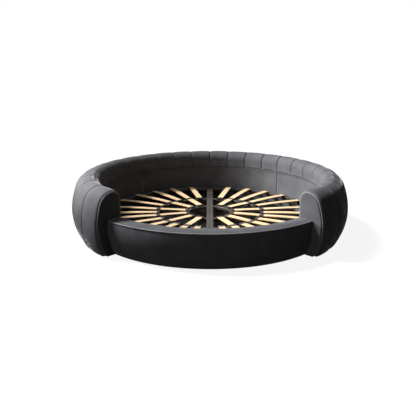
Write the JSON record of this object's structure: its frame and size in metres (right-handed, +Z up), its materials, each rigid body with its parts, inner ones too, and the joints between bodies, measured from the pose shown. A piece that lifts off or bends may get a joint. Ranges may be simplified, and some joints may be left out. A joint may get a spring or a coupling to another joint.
{
  "type": "round bed",
  "caption": "Upholstered round bed base with a channelled padded surround, low front rail, ringed steel slat frame and levelling feet.",
  "frame": {"origin": "on the floor under the centre of the round mattress well, at the underside of the centre levelling foot", "axes": "+Z up, +Y towards the headboard end, -Y towards the open front with the low rail, +X to the right as seen from the front"},
  "size_m": [2.4919, 2.3938, 0.537],
  "materials": {
    "upholstery": "charcoal woven cloth over foam",
    "piping": "covered cord in the same cloth",
    "carcass_wood": "raw plywood and softwood",
    "frame_steel": "taupe brown powder coat",
    "slat_wood": "pale lacquered beech plywood",
    "holder_plastic": "moulded black brown",
    "felt": "dark felt",
    "zinc_steel": "zinc plated",
    "foot_plastic": "moulded black nylon",
    "dust_cloth": "black non-woven cambric"
  },
  "bodies": {
    "bed": {"back_base_board": "carcass_wood", "back_channel_cover": "upholstery", "back_inner_board": "carcass_wood", "back_inner_pad": "upholstery", "back_ribs": "carcass_wood", "back_top_batten": "carcass_wood", "beam_bolts": "zinc_steel", "double_slat_holders": "holder_plastic", "dust_cover": "dust_cloth", "floor_glides": "foot_plastic", "frame_cleats": "frame_steel", "front_rail_base_board": "carcass_wood", "front_rail_cover": "upholstery", "front_rail_inner_board": "carcass_wood", "front_rail_piping": "piping", "front_rail_ribs": "carcass_wood", "front_rail_top_board": "carcass_wood", "inner_slat_holders": "holder_plastic", "left_base_board": "carcass_wood", "left_beam": "frame_steel", "left_channel_cover": "upholstery", "left_end_panel": "upholstery", "left_end_piping": "piping", "left_inner_board": "carcass_wood", "left_inner_pad": "upholstery", "left_inner_ring": "frame_steel", "left_inner_slats": "slat_wood", "left_mid_ring": "frame_steel", "left_outer_ring": "frame_steel", "left_outer_slats": "slat_wood", "left_ribs": "carcass_wood", "left_top_batten": "carcass_wood", "leg_inserts": "foot_plastic", "mid_slat_holders": "holder_plastic", "rail_bolts": "zinc_steel", "right_base_board": "carcass_wood", "right_beam": "frame_steel", "right_channel_cover": "upholstery", "right_end_panel": "upholstery", "right_end_piping": "piping", "right_inner_board": "carcass_wood", "right_inner_pad": "upholstery", "right_inner_ring": "frame_steel", "right_inner_slats": "slat_wood", "right_mid_ring": "frame_steel", "right_outer_ring": "frame_steel", "right_outer_slats": "slat_wood", "right_ribs": "carcass_wood", "right_top_batten": "carcass_wood", "section_bolts": "zinc_steel", "slat_end_pads": "felt", "support_legs": "frame_steel"},
    "back_levelling_foot": {"back_levelling_foot": "foot_plastic"},
    "centre_levelling_foot": {"centre_levelling_foot": "foot_plastic"},
    "front_levelling_foot": {"front_levelling_foot": "foot_plastic"},
    "left_levelling_foot": {"left_levelling_foot": "foot_plastic"},
    "right_levelling_foot": {"right_levelling_foot": "foot_plastic"}
  },
  "joints": [
    {"name": "back_levelling_travel", "type": "slide", "parent": "bed", "child": "back_levelling_foot", "axis": [0, 0, -1], "range_m": [0, 0.012]},
    {"name": "centre_levelling_travel", "type": "slide", "parent": "bed", "child": "centre_levelling_foot", "axis": [0, 0, -1], "range_m": [0, 0.012]},
    {"name": "front_levelling_travel", "type": "slide", "parent": "bed", "child": "front_levelling_foot", "axis": [0, 0, -1], "range_m": [0, 0.012]},
    {"name": "left_levelling_travel", "type": "slide", "parent": "bed", "child": "left_levelling_foot", "axis": [0, 0, -1], "range_m": [0, 0.012]},
    {"name": "right_levelling_travel", "type": "slide", "parent": "bed", "child": "right_levelling_foot", "axis": [0, 0, -1], "range_m": [0, 0.012]}
  ]
}
